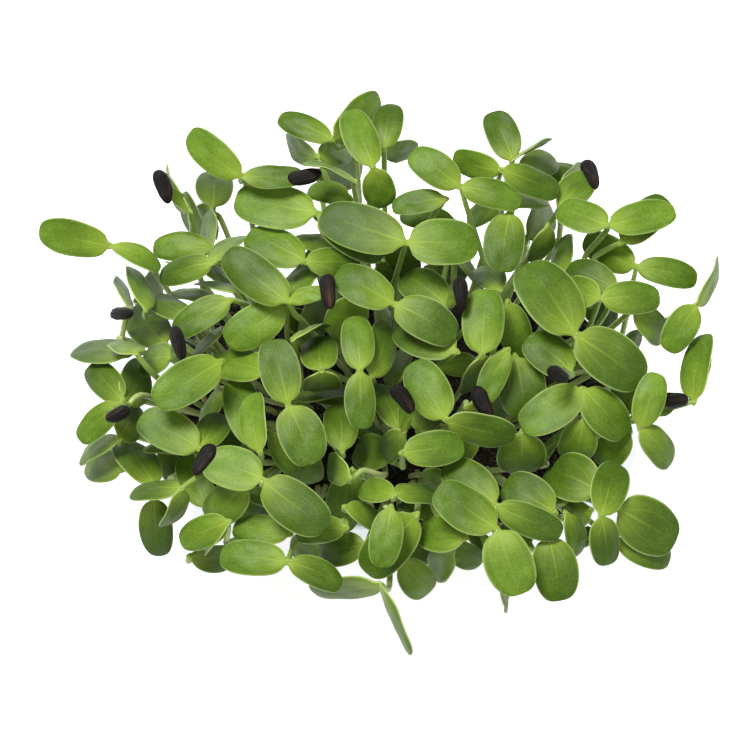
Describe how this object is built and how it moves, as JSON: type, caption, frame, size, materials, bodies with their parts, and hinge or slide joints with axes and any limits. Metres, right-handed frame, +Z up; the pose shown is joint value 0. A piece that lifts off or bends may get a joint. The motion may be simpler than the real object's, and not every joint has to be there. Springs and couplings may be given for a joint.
{
  "type": "tray of microgreens",
  "caption": "Shallow clear plastic tray of dark growing mix, filled edge to edge with leafy sunflower microgreens that spread past its rim, some with black hulls on their tips.",
  "frame": {"origin": "centre of the tray's flat underside, on the surface that the tray stands on", "axes": "+Z up, +X along the tray's long side toward the right of the picture, +Y toward the top of the picture"},
  "size_m": [0.2398, 0.2028, 0.1153],
  "materials": {
    "tray": "clear, slightly milky, smooth",
    "growing_mix": "damp dark peat, rough and crumbly",
    "seedlings": "waxy green seed leaves and pale green stems",
    "hull": "dry black husk with fine fibres"
  },
  "bodies": {
    "root": {"tray": "tray", "growing_mix": "growing_mix", "seedlings_01": "seedlings", "seedlings_02": "seedlings", "seedlings_03": "seedlings", "seedlings_04": "seedlings", "seedlings_05": "seedlings", "seedlings_06": "seedlings", "seedlings_07": "seedlings", "seedlings_08": "seedlings", "seedlings_09": "seedlings", "seedlings_10": "seedlings", "seedlings_11": "seedlings", "seedlings_12": "seedlings", "seedlings_13": "seedlings", "seedlings_14": "seedlings", "seedlings_15": "seedlings", "seedlings_16": "seedlings", "seedlings_17": "seedlings", "seedlings_18": "seedlings", "seedlings_19": "seedlings", "seedlings_20": "seedlings", "seedlings_21": "seedlings", "seedlings_22": "seedlings", "seedlings_23": "seedlings", "seedlings_24": "seedlings", "seedlings_25": "seedlings", "seedlings_26": "seedlings", "seedlings_27": "seedlings", "seedlings_28": "seedlings", "seedlings_29": "seedlings", "seedlings_30": "seedlings", "seedlings_31": "seedlings", "seedlings_32": "seedlings", "hull_01": "hull", "hull_02": "hull", "hull_03": "hull", "hull_04": "hull", "hull_05": "hull", "hull_06": "hull", "hull_07": "hull", "hull_08": "hull", "hull_09": "hull", "hull_10": "hull", "hull_11": "hull", "hull_12": "hull", "hull_13": "hull"}
  },
  "joints": []
}
